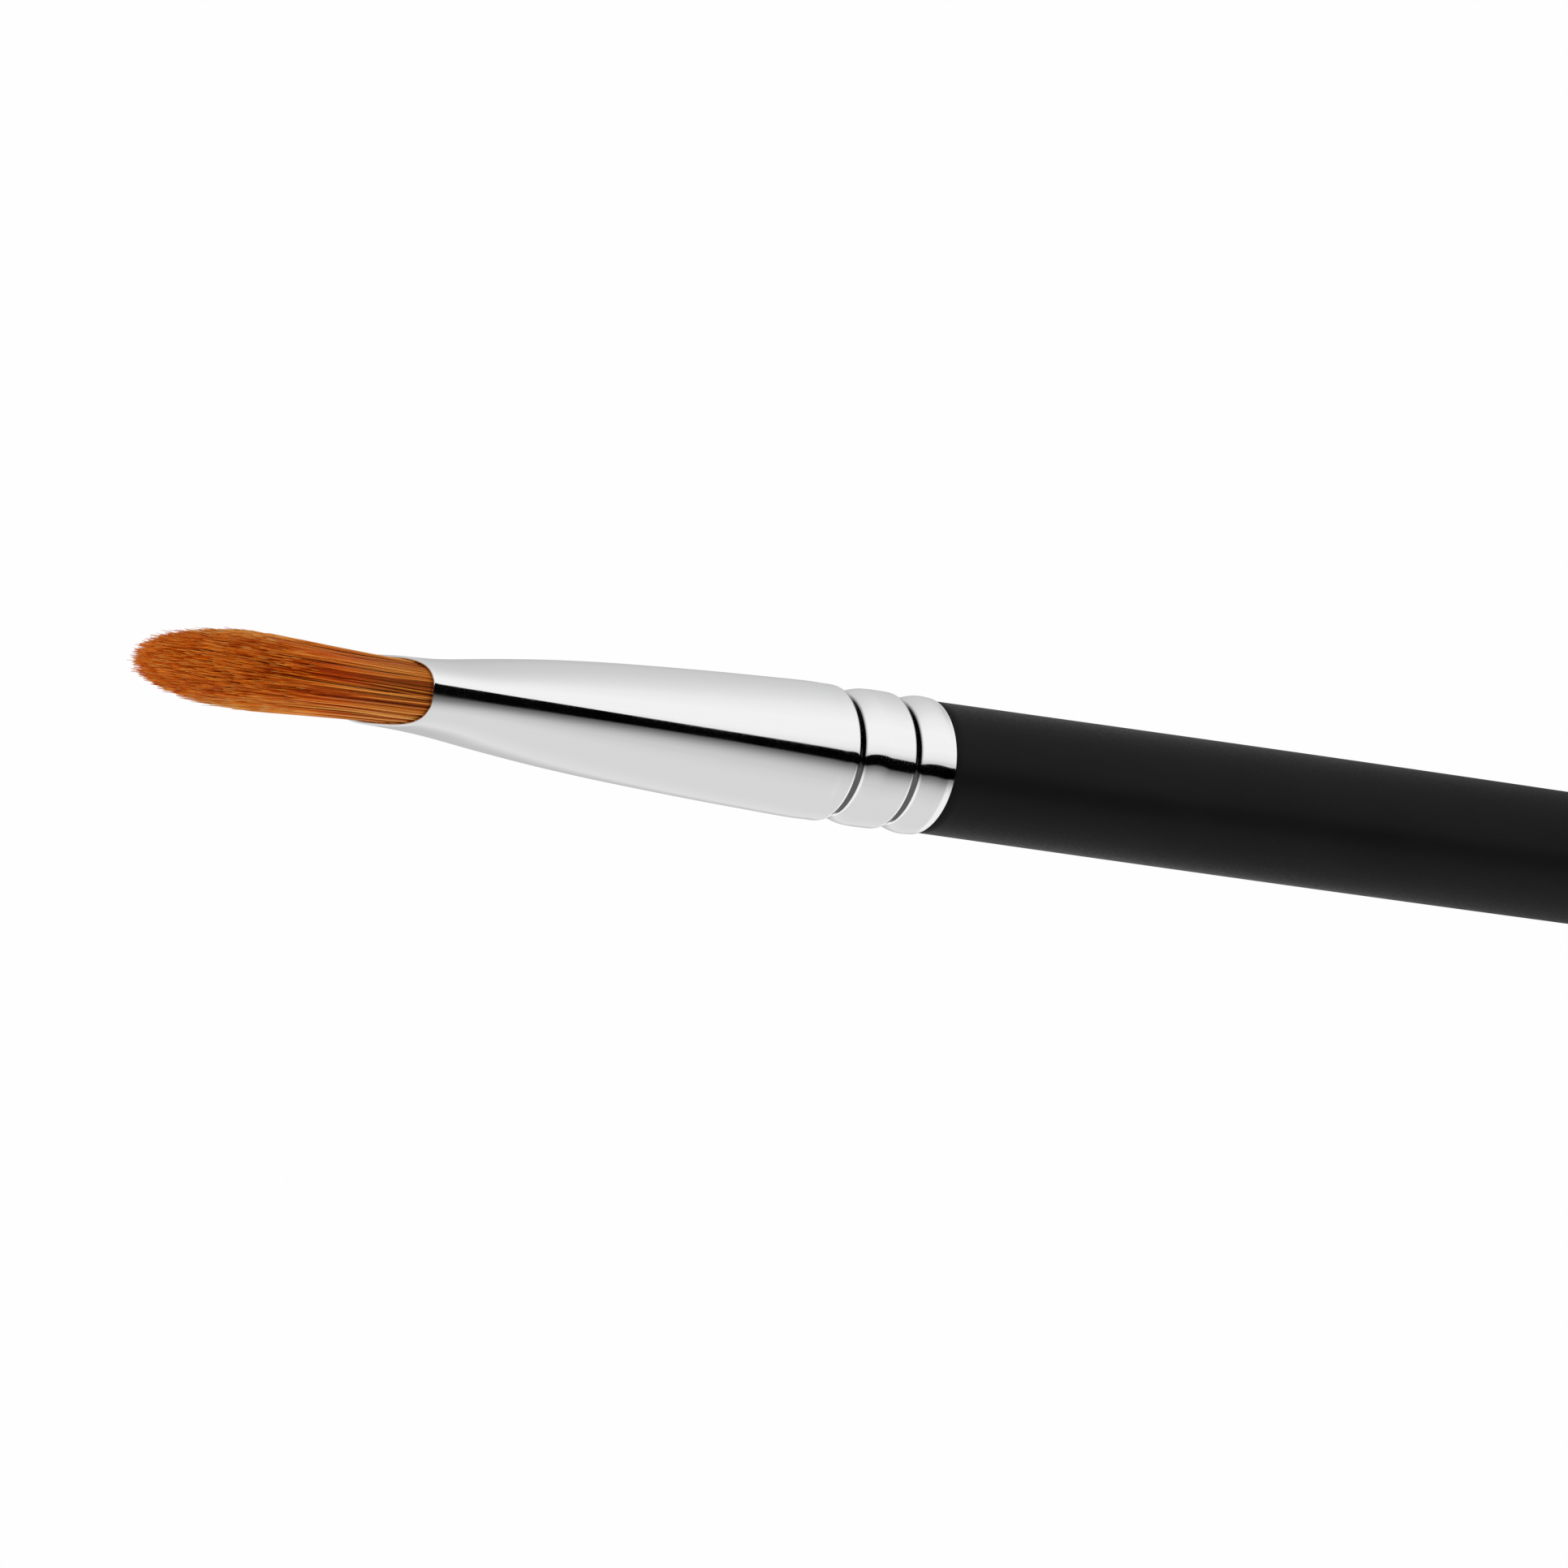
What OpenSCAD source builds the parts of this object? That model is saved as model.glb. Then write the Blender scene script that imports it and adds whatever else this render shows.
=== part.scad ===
// Flat, domed brush: turned handle, crimped metal ferrule and a bound hair head.
// It lies along X with its hair at -X, its broad side level and its lowest line on Z = 0.
// In the functions, d is a distance from the ferrule's mouth towards the hair's tip, s one from
// the mouth towards the handle, v one from the ferrule's rim towards the mouth, and u one from
// the rim towards the handle's tail.

/* [Overall] */
// Length from the hair's tip to the handle's tail
overall_l = 174; // [150:1:210]

/* [Ferrule] */
// Length from mouth to rim
ferrule_l = 36.5; // [34:0.5:42]
// Outer radius of the round tube
tube_r = 4.02; // [4:0.01:4.1]
// Thickness of the metal
wall = 0.22; // [0.15:0.01:0.25]
// Half the outer width of the flattened mouth
mouth_half_w = 5.6; // [5:0.1:6]
// Half the outer thickness of the flattened mouth
mouth_half_t = 2.0; // [1.9:0.05:2.2]
// Squareness of the mouth, where 2 is an ellipse
mouth_square = 3.0; // [2.1:0.1:3.2]
// Distance from the rim to the front crimp groove
front_crimp = 6.0; // [5.5:0.05:6.5]
// Distance from the rim to the rear crimp groove
rear_crimp = 2.1; // [2:0.05:2.6]
// Depth of the crimp grooves
crimp_depth = 0.22; // [0.1:0.01:0.24]

/* [Hair] */
// Length of hair outside the ferrule
hair_l = 15.3; // [12:0.1:18]
// Distance from the mouth at which the dome begins
dome_start = 7.5; // [6:0.5:9]
// Half the greatest width of the head
hair_half_w = 6.0; // [5.6:0.1:6.4]
// Half the greatest thickness of the head
hair_half_t = 2.35; // [2.1:0.05:2.5]
// Distance from the mouth to the line the hair bends about
bend_out = 2.4; // [2.3:0.1:3]

/* [Roots] */
// Radius of the tied knot of roots
knot_r = 2.75; // [2.4:0.05:2.8]
// Depth of the knot's back end inside the ferrule
knot_in = 19; // [18:0.5:20]
// Diameter of the binding thread
thread_d = 0.3; // [0.2:0.02:0.32]
// Number of turns of thread
thread_turns = 4; // [2:1:4]

/* [Handle] */
// Radius at the shoulder behind the ferrule
shoulder_r = 3.9; // [3.85:0.01:3.95]
// Radius of the belly, a true cylinder that a holder can grip
belly_r = 4.08; // [4:0.01:4.1]
// Distance from the rim to the belly
belly_from = 46; // [36:1:48]
// Length of the belly
belly_l = 20; // [14:1:24]
// Radius just before the rounded tail
tail_r = 2.5; // [2:0.1:3]
// Thickness of the lacquer
lacquer = 0.16; // [0.16:0.01:0.2]
// Length of the tenon inside the ferrule
tenon_l = 12; // [10:0.5:12]

/* [Hidden] */

$fn = 64;
section_sides = 48;
// Length of the plain round tube behind the flattened stretch, with both crimps
round_l = 8;
round_in = ferrule_l - round_l;
// How far a faceted stretch runs on inside a turned one, and how it stays inside the metal
splice = 0.3;
splice_gap = 0.01;
splice_taper = 0.06;
// Clearance between what is inside the ferrule and its wall
inner_gap = 0.02;
glue_film = 0.05;
seat_gap = 0.006;
// Angles of the turned solids' seams, a little aside from the lowest line, so that where
// the round is meshed it rests on a flat and not on an edge
tube_seam = 2.81;
handle_seam = 4.29;
// The rim turns in, the tube grows towards it, and each crimp draws in the bands beside it
rim_drop = 0.08;
rim_drop_l = 0.7;
rim_growth = 0.07;
crimp_front_l = 0.8;
crimp_back_l = 1.4;
draw_in = 0.05;
draw_in_half_l = 2.1;
tip_x = -overall_l / 2;
mouth_x = tip_x + hair_l;
rim_x = mouth_x + ferrule_l;
tail_x = overall_l / 2;
handle_l = tail_x - rim_x;
axis_z = belly_r;
tube_steps = 48;
loft_steps = 15;
tail_round_l = 3.2;

// ---- Curves -------------------------------------------------------------

// Cubic through four values at even steps, between the middle two
function cubic(p0, p1, p2, p3, t) =
    p1 + 0.5 * t * (p2 - p0 + t * (2 * p0 - 5 * p1 + 4 * p2 - p3
    + t * (3 * (p1 - p2) + p3 - p0)));

// Value of an evenly spaced curve at u, counted in steps
function along(list, u, i) =
    cubic(list[max(i - 1, 0)], list[i], list[min(i + 1, len(list) - 1)],
          list[min(i + 2, len(list) - 1)], u - i);

function curve(list, u) = along(list, u, min(floor(u), len(list) - 2));

function ease(t) = t <= 0 ? 0 : t >= 1 ? 1 : t * t * (3 - 2 * t);

// One dip of depth 1 and half length 1, centred on 0
function dip(t) = abs(t) >= 1 ? 0 : (1 + cos(180 * t)) / 2;

// ---- Ferrule ------------------------------------------------------------

// Share of the way from mouth thickness to tube radius, every eighth of the flattened stretch
swell = [0, 0.09, 0.32, 0.52, 0.665, 0.772, 0.864, 0.937, 1];

function half_t(s) =
    mouth_half_t + (tube_r - mouth_half_t) * curve(swell, min(s / round_in, 0.9999) * 8);

// The tube keeps its girth as it is pressed flat, so it widens as it thins
girth_excess = mouth_half_w - sqrt(2 * pow(tube_r, 2) - pow(mouth_half_t, 2));

function half_w(s) =
    sqrt(2 * pow(tube_r, 2) - pow(half_t(s), 2)) + girth_excess * pow(1 - s / round_in, 2);

// The squareness dies away quickly behind the mouth
function squareness(s) = 2 + (mouth_square - 2) * pow(1 - min(s / round_in, 1), 2.9);

// One closed section across X: a rounded oblong of half width w and half thickness t
function section(x, w, t, n) =
    [for (k = [0 : section_sides - 1])
        let (a = 360 * (k + 0.5) / section_sides, c = cos(a), q = sin(a))
        [x, w * sign(c) * pow(abs(c), 2 / n), axis_z + t * sign(q) * pow(abs(q), 2 / n)]];

// A closed skin through a list of sections, with flat ends
module loft(rings) {
    count = len(rings);
    m = section_sides;
    polyhedron(
        points = [for (r = rings) each r],
        faces = concat(
            [[for (k = [0 : m - 1]) k]],
            [for (i = [0 : count - 2], k = [0 : m - 1])
                let (k2 = (k + 1) % m)
                [i * m + k, (i + 1) * m + k, (i + 1) * m + k2]],
            [for (i = [0 : count - 2], k = [0 : m - 1])
                let (k2 = (k + 1) % m)
                [i * m + k, (i + 1) * m + k2, i * m + k2]],
            [[for (k = [m - 1 : -1 : 0]) (count - 1) * m + k]]));
}

// Section of the ferrule's flattened stretch at depth s, pulled in by inset
function tube_section(s, inset) =
    section(mouth_x + s, half_w(s) - inset, half_t(s) - inset, squareness(s));

// A groove of depth 1 at v from its bottom: crisp on the hair's side and soft behind
function groove(v) =
    let (t = v / crimp_front_l)
    t <= 0 ? dip(v / crimp_back_l) :
    t < 0.85 ? 1 - pow(t, 2) :
    2.6 * pow(max(1.176 - t, 0), 2);

// How far the crimp at a distance c from the rim draws the tube in at v
function crimped(v, c) =
    crimp_depth * groove(v - c) + draw_in * dip((v - c) / draw_in_half_l);

// Radius of the round tube
function round_r(v) =
    tube_r + rim_growth * (1 - ease(v / front_crimp)) - rim_drop * dip(v / rim_drop_l)
    - crimped(v, front_crimp) - crimped(v, rear_crimp);

function reversed(list) = [for (i = [len(list) - 1 : -1 : 0]) list[i]];

// Points (radius, distance from rim) of the round tube as far as v1, pulled in by inset
function round_profile(v1, inset) =
    [for (i = [0 : tube_steps])
        let (v = v1 * i / tube_steps)
        [round_r(v) - inset, v]];

// The closed outline between two such lines
function sleeve_profile(v1, outer_inset, inner_inset) =
    concat(round_profile(v1, outer_inset), reversed(round_profile(v1, inner_inset)));

// Turns a profile of (radius, distance from rim towards the mouth) about the brush's axis
module turned_from_rim(profile) {
    translate([rim_x, 0, axis_z])
        rotate([0, -90, 0])
            rotate([0, 0, tube_seam])
                rotate_extrude()
                    polygon(profile);
}

// Sections of the flattened stretch pulled in by inset, the last of them by a little more
function flat_sections(inset, last) =
    [for (i = [0 : loft_steps])
        tube_section(round_in * i / loft_steps, inset + (i == loft_steps ? last : 0))];

function round_section(x, r) = section(x, r, r, 2);

module ferrule() color("silver") {
    turned_from_rim(sleeve_profile(round_l, 0, wall));
    difference() {
        loft(concat(
            flat_sections(0, splice_gap),
            [round_section(mouth_x + round_in + splice, tube_r - splice_taper)]));
        loft(concat(
            [section(mouth_x - 1, mouth_half_w - wall, mouth_half_t - wall, mouth_square)],
            flat_sections(wall, -splice_gap),
            [round_section(mouth_x + round_in + 1, tube_r - wall + splice_taper)]));
    }
}

// ---- Handle -------------------------------------------------------------

// Radius of the lacquered handle at distance u behind the rim
belly_to = belly_from + belly_l;
taper_l = handle_l - tail_round_l - belly_to;
taper_power = 1.7;
function front_r(u) = shoulder_r + (belly_r - shoulder_r) * sin(90 * u / belly_from);
function rear_r(u) = belly_r - (belly_r - tail_r) * pow((u - belly_to) / taper_l, taper_power);

front_steps = 12;
rear_steps = 20;
tail_steps = 12;

// Outline of the handle behind the rim, pulled in by inset, as (radius, distance behind rim)
function handle_outline(inset) = concat(
    [for (i = [0 : front_steps])
        let (u = belly_from * i / front_steps)
        [front_r(u) - inset, u]],
    [for (i = [0 : rear_steps])
        let (u = belly_to + taper_l * i / rear_steps)
        [rear_r(u) - inset, u]],
    [for (i = [1 : tail_steps])
        let (a = 90 * i / tail_steps)
        [(tail_r - inset) * cos(a), handle_l - tail_round_l + (tail_round_l - inset) * sin(a)]]);

// Turns a profile of (radius, distance behind the rim) about the brush's axis
module turned_behind_rim(profile) {
    translate([rim_x, 0, axis_z])
        rotate([0, 90, 0])
            rotate([0, 0, handle_seam])
                rotate_extrude()
                    polygon(profile);
}

tenon_inset = wall + glue_film;
// The tenon fills the round tube, short of the splice, and a thinner nose reaches further in
tenon_full_l = round_l - splice - 0.1;
tenon_nose_r = 3.5;
tenon_chamfer = 0.6;

module handle_core() color("burlywood") {
    turned_behind_rim(concat([[0, 0]], handle_outline(lacquer)));
    turned_from_rim(concat(
        [[0, -1], [round_r(0) - tenon_inset, -1]],
        round_profile(tenon_full_l, tenon_inset),
        [[tenon_nose_r, tenon_full_l], [tenon_nose_r, tenon_l - tenon_chamfer],
         [tenon_nose_r - tenon_chamfer, tenon_l], [0, tenon_l]]));
}

module handle_lacquer() color("#1c1c1c")
    difference() {
        turned_behind_rim(concat([[0, 0]], handle_outline(0)));
        turned_behind_rim(concat([[0, -1], [shoulder_r - lacquer, -1]], handle_outline(lacquer)));
    }

module tenon_glue() color("khaki")
    turned_from_rim(sleeve_profile(tenon_full_l, wall + seat_gap, tenon_inset));

// ---- Hair ---------------------------------------------------------------

mouth_in_w = mouth_half_w - wall - inner_gap;
mouth_in_t = mouth_half_t - wall - inner_gap;

// Half width, half thickness and squareness of the head at distance d from the mouth, before
// the dome narrows it
function head_w(d) = mouth_in_w + (hair_half_w - mouth_in_w) * ease(d / dome_start);
function head_t(d) = mouth_in_t + (hair_half_t - mouth_in_t) * min(d / 11, 1);
function head_square(d) = mouth_square + (2.4 - mouth_square) * ease(d / 5);

head_steps = 7;
dome_steps = 10;
// The dome's last section, as an angle round its quarter ellipse
dome_last = 84;

// The bend line crosses the head, so the head's back end is a round knuckle about that line
knuckle_r = 1.85;

module hair_tuft() color("chocolate")
    intersection() {
        loft(concat(
            [for (i = [dome_steps : -1 : 1])
                let (a = dome_last * i / dome_steps,
                     d = dome_start + (hair_l - dome_start) * sin(a) / sin(dome_last))
                section(mouth_x - d, head_w(d) * cos(a), head_t(d) * cos(a), 2.4)],
            [for (i = [head_steps : -1 : 0])
                let (d = dome_start * i / head_steps)
                section(mouth_x - d, head_w(d), head_t(d), head_square(d))]));
        union() {
            translate([mouth_x - bend_out, 0, axis_z])
                rotate([90, 0, 0])
                    cylinder(r = knuckle_r, h = 4 * hair_half_w, center = true);
            translate([tip_x - 1, -2 * hair_half_w, 0])
                cube([hair_l - bend_out + 1, 4 * hair_half_w, 2 * axis_z]);
        }
    }

// ---- Roots --------------------------------------------------------------

knot_from = 14.5;
root_steps = 10;
// How far the roots' solid stands out of the mouth, short of the knuckle
root_out = 0.3;
thread_from = 15;
thread_pitch = thread_d + 0.02;
glue_from = 16.8;
glue_to = knot_in + 2.5;
glue_steps = 4;

// Section of the roots at depth s: the mouth's shape, drawn in to the round knot, and never
// thicker than the bore
function root_section(s) =
    let (t = ease(s / knot_from),
         bore_w = half_w(s) - wall - inner_gap,
         bore_t = half_t(s) - wall - inner_gap,
         w = bore_w * (1 - t) + knot_r * t,
         h = min(bore_t, bore_t * (1 - t) + knot_r * t))
    section(mouth_x + s, w, h, min(squareness(s), mouth_square + (2 - mouth_square) * t));

// A round bar of radius r along the brush's axis, from depth s0 to depth s1
module round_bar(r, s0, s1) {
    translate([mouth_x + s0, 0, axis_z])
        rotate([0, 90, 0])
            cylinder(r = r, h = s1 - s0);
}

module hair_roots() color("sienna") {
    loft(concat(
        [section(mouth_x - root_out, mouth_in_w, mouth_in_t, mouth_square)],
        [for (i = [0 : root_steps - 1]) root_section(knot_from * i / root_steps)],
        [round_section(mouth_x + knot_from, knot_r - splice_gap),
         round_section(mouth_x + knot_from + splice, knot_r - splice_taper)]));
    round_bar(knot_r, knot_from, knot_in);
}

module binding_thread() color("ivory")
    for (i = [0 : thread_turns - 1])
        translate([mouth_x + thread_from + thread_d / 2 + i * thread_pitch, 0, axis_z])
            rotate([0, 90, 0])
                rotate_extrude()
                    translate([knot_r + thread_d / 2 + splice_gap, 0])
                        circle(d = thread_d, $fn = 24);

module root_glue() color("goldenrod")
    difference() {
        loft([for (i = [0 : glue_steps])
            tube_section(glue_from + (glue_to - glue_from) * i / glue_steps, wall + inner_gap)]);
        round_bar(knot_r, glue_from - 1, knot_in);
    }

handle_core();
handle_lacquer();
tenon_glue();
ferrule();
hair_roots();
binding_thread();
root_glue();
hair_tuft();
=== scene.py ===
import math

import bpy
import numpy as np
from mathutils import Matrix, Vector


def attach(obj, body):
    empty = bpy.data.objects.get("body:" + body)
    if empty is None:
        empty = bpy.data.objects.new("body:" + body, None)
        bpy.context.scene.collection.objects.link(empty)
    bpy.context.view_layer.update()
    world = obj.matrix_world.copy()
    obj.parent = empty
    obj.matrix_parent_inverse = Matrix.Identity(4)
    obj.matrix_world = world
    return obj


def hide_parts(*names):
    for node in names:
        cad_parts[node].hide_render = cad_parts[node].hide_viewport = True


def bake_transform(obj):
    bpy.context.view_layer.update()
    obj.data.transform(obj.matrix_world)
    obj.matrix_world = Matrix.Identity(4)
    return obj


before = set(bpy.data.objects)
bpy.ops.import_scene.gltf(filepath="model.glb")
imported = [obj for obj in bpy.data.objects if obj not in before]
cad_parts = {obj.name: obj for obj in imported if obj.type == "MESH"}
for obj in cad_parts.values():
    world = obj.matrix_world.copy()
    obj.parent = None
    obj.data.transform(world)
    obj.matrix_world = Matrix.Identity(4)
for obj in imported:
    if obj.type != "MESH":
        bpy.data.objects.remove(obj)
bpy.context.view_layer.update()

# Lengths below are in millimetres, as in the CAD source, until mesh_object() makes them metres.
MM = 0.001

# ---- The brush's own measures ---------------------------------------------

AXIS_Z = 4.08
MOUTH_X = -71.7
RIM_X = -35.2

WALL = 0.22
TUBE_R = 4.02
MOUTH_HALF_W = 5.6
MOUTH_HALF_T = 2.0
MOUTH_SQUARE = 3.0
FERRULE_L = 36.5
ROUND_L = 8.0
ROUND_IN = FERRULE_L - ROUND_L
CRIMPS = (6.0, 2.1)
CRIMP_DEPTH = 0.22
CRIMP_FRONT_L = 0.8
CRIMP_BACK_L = 1.4
# From a groove's bottom, its front wall is round as far as the first share of CRIMP_FRONT_L,
# and eases out to nothing at the second
SHOULDER_TO = 0.85
SHOULDER_END = 1.176
DRAW_IN = 0.05
DRAW_IN_HALF_L = 2.1
RIM_GROWTH = 0.07
RIM_DROP = 0.05
RIM_DROP_L = 0.7
# Share of the way from mouth thickness to tube radius, every eighth of the flattened stretch
SWELL = (0, 0.09, 0.32, 0.52, 0.665, 0.772, 0.864, 0.937, 1)

SHOULDER_R = 3.9
BELLY_R = 4.08
BELLY_FROM = 46.0
BELLY_TO = 66.0
HANDLE_L = 122.2
TAIL_R = 2.5
TAIL_ROUND_L = 3.2
TAPER_POWER = 1.7
LACQUER = 0.16

HAIR_L = 15.3
DOME_START = 7.5
HAIR_HALF_W = 6.0
HAIR_HALF_T = 2.35
HEAD_THICKENS_TO = 11
ROOT_GAP = 0.02
MOUTH_IN_W = MOUTH_HALF_W - WALL - ROOT_GAP
MOUTH_IN_T = MOUTH_HALF_T - WALL - ROOT_GAP


def ease(t):
    t = np.clip(t, 0, 1)
    return t * t * (3 - 2 * t)


def dip(t):
    return np.where(np.abs(t) < 1, (1 + np.cos(np.pi * np.clip(t, -1, 1))) / 2, 0)


def swell(u):
    """The SWELL curve at u steps, as a cubic through its values."""
    k = np.array((SWELL[0],) + SWELL + (SWELL[-1],), float)
    i = np.minimum(np.floor(u).astype(int), len(SWELL) - 2)
    t = u - i
    p0, p1, p2, p3 = k[i], k[i + 1], k[i + 2], k[i + 3]
    bend = t * (2 * p0 - 5 * p1 + 4 * p2 - p3 + t * (3 * (p1 - p2) + p3 - p0))
    return p1 + 0.5 * t * (p2 - p0 + bend)


def half_t(s):
    share = swell(np.clip(s / ROUND_IN, 0, 0.9999) * 8)
    return MOUTH_HALF_T + (TUBE_R - MOUTH_HALF_T) * share


def half_w(s):
    """The tube keeps its girth as it is pressed flat, so it widens as it thins."""
    excess = MOUTH_HALF_W - math.sqrt(2 * TUBE_R**2 - MOUTH_HALF_T**2)
    flat = np.clip(1 - s / ROUND_IN, 0, 1)
    return np.sqrt(2 * TUBE_R**2 - half_t(s) ** 2) + excess * flat**2


def squareness(s):
    return 2 + (MOUTH_SQUARE - 2) * np.clip(1 - s / ROUND_IN, 0, 1) ** 2.9


def crimp(v):
    """A groove at v from its bottom: a crisp shoulder on the hair's side, a soft one behind."""
    t = np.clip(v / CRIMP_FRONT_L, 0, SHOULDER_END)
    front = np.where(t < SHOULDER_TO, 1 - t**2, 2.6 * (SHOULDER_END - t) ** 2)
    return np.where(v > 0, front, dip(v / CRIMP_BACK_L))


def round_r(v):
    """Radius of the round tube at v from the rim, with both crimps."""
    r = TUBE_R + RIM_GROWTH * (1 - ease(v / CRIMPS[0])) - RIM_DROP * dip(v / RIM_DROP_L)
    for c in CRIMPS:
        r = r - CRIMP_DEPTH * crimp(v - c) - DRAW_IN * dip((v - c) / DRAW_IN_HALF_L)
    return r


def head_w(d):
    return MOUTH_IN_W + (HAIR_HALF_W - MOUTH_IN_W) * ease(d / DOME_START)


def head_t(d):
    return MOUTH_IN_T + (HAIR_HALF_T - MOUTH_IN_T) * np.clip(d / HEAD_THICKENS_TO, 0, 1)


# ---- Meshes ---------------------------------------------------------------


def mesh_object(name, points, faces):
    """A smooth-shaded object from points in mm."""
    mesh = bpy.data.meshes.new(name)
    mesh.from_pydata(np.asarray(points) * MM, [], faces)
    mesh.update()
    mesh.polygons.foreach_set("use_smooth", np.ones(len(mesh.polygons), bool))
    obj = bpy.data.objects.new(name, mesh)
    bpy.context.scene.collection.objects.link(obj)
    return obj


def add_attribute(obj, key, values):
    """One number for each vertex, for its material to read."""
    attribute = obj.data.attributes.new(key, "FLOAT", "POINT")
    attribute.data.foreach_set("value", np.asarray(values).astype(np.float32))


def section(x, w, h, n, sides):
    """A closed ring across X: a rounded oblong of half width w, half thickness h."""
    a = 2 * np.pi * (np.arange(sides) + 0.5) / sides
    c, q = np.cos(a), np.sin(a)
    y = w * np.sign(c) * np.abs(c) ** (2 / n)
    z = h * np.sign(q) * np.abs(q) ** (2 / n)
    return np.stack([np.full(sides, float(x)), y, AXIS_Z + z], 1)


def skin_faces(count, sides, joined):
    """Quads between neighbouring rings, and from the last ring to the first if joined."""
    faces = []
    for i in range(count if joined else count - 1):
        j = (i + 1) % count
        for k in range(sides):
            k2 = (k + 1) % sides
            faces.append((i * sides + k, j * sides + k, j * sides + k2, i * sides + k2))
    return faces


def closed_loft(name, rings, sides):
    """A skin through rings, closed at both ends by a fan to a middle point."""
    points = np.concatenate(rings)
    faces = skin_faces(len(rings), sides, False)
    first = len(points)
    points = np.concatenate([points, [rings[0].mean(0)], [rings[-1].mean(0)]])
    start = (len(rings) - 1) * sides
    for k in range(sides):
        k2 = (k + 1) % sides
        faces.append((first, k, k2))
        faces.append((first + 1, start + k2, start + k))
    return mesh_object(name, points, faces)


# ---- Ferrule --------------------------------------------------------------

FERRULE_SIDES = 240
GRID_STEP = 0.05
# The join of the flat and round stretches is smoothed over this many grid steps
JOIN_BLUR = 14.0
JOIN_REACH = 40


def ferrule_path():
    """(distance from the mouth, inset) round the wall: outside, rim, inside, lip."""
    lip = WALL / 2
    crimped = np.arange(FERRULE_L - lip, ROUND_IN, -GRID_STEP)
    flat = np.arange(ROUND_IN, lip, -0.3)
    arc = np.radians(np.arange(10, 180, 20))
    outside = [(s, 0.0) for s in np.concatenate([crimped, flat])]
    mouth = [(lip - lip * math.sin(a), lip - lip * math.cos(a)) for a in arc]
    inside = [(s, WALL) for s in np.arange(lip, FERRULE_L - lip, 0.6)]
    rim = [(FERRULE_L - lip + lip * math.sin(a), lip + lip * math.cos(a)) for a in arc]
    return outside + mouth + inside + rim


def ferrule_shape():
    """Half width, half thickness and squareness on a fine grid, with the join smoothed."""
    s = np.arange(0, FERRULE_L + GRID_STEP, GRID_STEP)
    round_part = round_r(FERRULE_L - s)
    w = np.where(s < ROUND_IN, half_w(s), round_part)
    h = np.where(s < ROUND_IN, half_t(s), round_part)
    reach = np.arange(-JOIN_REACH, JOIN_REACH + 1)
    kernel = np.exp(-0.5 * (reach / JOIN_BLUR) ** 2)
    kernel /= kernel.sum()
    # the crimps keep their own shape
    keep = ease((s - ROUND_IN - 0.2) / 0.8)
    smoothed = []
    for size in (w, h):
        padded = np.pad(size, JOIN_REACH, mode="reflect", reflect_type="odd")
        smoothed.append(np.convolve(padded, kernel, "valid") * (1 - keep) + size * keep)
    return s, smoothed[0], smoothed[1]


def make_ferrule():
    grid, w, h = ferrule_shape()
    rings = []
    for s, inset in ferrule_path():
        ring_w = np.interp(s, grid, w) - inset
        ring_h = np.interp(s, grid, h) - inset
        rings.append(section(MOUTH_X + s, ring_w, ring_h, float(squareness(s)), FERRULE_SIDES))
    faces = skin_faces(len(rings), FERRULE_SIDES, True)
    return mesh_object("ferrule_shell", np.concatenate(rings), faces)


# ---- Handle ---------------------------------------------------------------

HANDLE_SIDES = 192


def handle_r(u):
    front = SHOULDER_R + (BELLY_R - SHOULDER_R) * np.sin(np.pi / 2 * np.clip(u / BELLY_FROM, 0, 1))
    taper_l = HANDLE_L - TAIL_ROUND_L - BELLY_TO
    back = np.clip((u - BELLY_TO) / taper_l, 0, 1)
    return front - (BELLY_R - TAIL_R) * back**TAPER_POWER


def handle_outline(inset):
    """(distance behind the rim, radius) from the rim to the tail's last ring."""
    body = [(u, float(handle_r(u)) - inset) for u in np.linspace(0, HANDLE_L - TAIL_ROUND_L, 150)]
    tail = []
    for a in np.radians(np.linspace(4, 89, 24)):
        x = HANDLE_L - TAIL_ROUND_L + (TAIL_ROUND_L - inset) * math.sin(a)
        tail.append((x, (TAIL_R - inset) * math.cos(a)))
    return body + tail


def make_handle():
    """The lacquer's closed skin: outside to the tail, and back inside."""
    outside = handle_outline(0)
    inside = handle_outline(LACQUER)
    rings = []
    for u, r in outside + inside[::-1]:
        rings.append(section(RIM_X + u, r, r, 2, HANDLE_SIDES))
    faces = skin_faces(len(rings), HANDLE_SIDES, True)
    # the tail's two tips are closed by fans instead of the band between them
    turn = len(outside) - 1
    band = range(turn * HANDLE_SIDES, (turn + 1) * HANDLE_SIDES)
    faces = [f for i, f in enumerate(faces) if i not in band]
    points = np.concatenate(rings)
    tips = len(points)
    tail_x = RIM_X + HANDLE_L
    points = np.concatenate([points, [[tail_x, 0, AXIS_Z], [tail_x - LACQUER, 0, AXIS_Z]]])
    for k in range(HANDLE_SIDES):
        k2 = (k + 1) % HANDLE_SIDES
        a, b = turn * HANDLE_SIDES, (turn + 1) * HANDLE_SIDES
        faces.append((a + k, tips, a + k2))
        faces.append((b + k2, tips + 1, b + k))
    return mesh_object("handle_coat", points, faces)


# ---- Hair -----------------------------------------------------------------

STRANDS = 1500
STRAND_SIDES = 3
STRAND_STEPS = 11
STRAND_R = 0.048
ROOT_START = -2.6
HEAD_SQUARE = 2.4
# 0.5 would make the dome an ellipse, and 1 a parabola
DOME_POWER = 0.56
END_JITTER = 0.45
# How each hair waves along its length, and how far its end strays
WAVE = 0.05
STRAY = 0.16
LOCKS = 150
# How far a hair is drawn to the middle of its lock, least and most
DRAWN = (0.05, 0.4)
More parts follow.
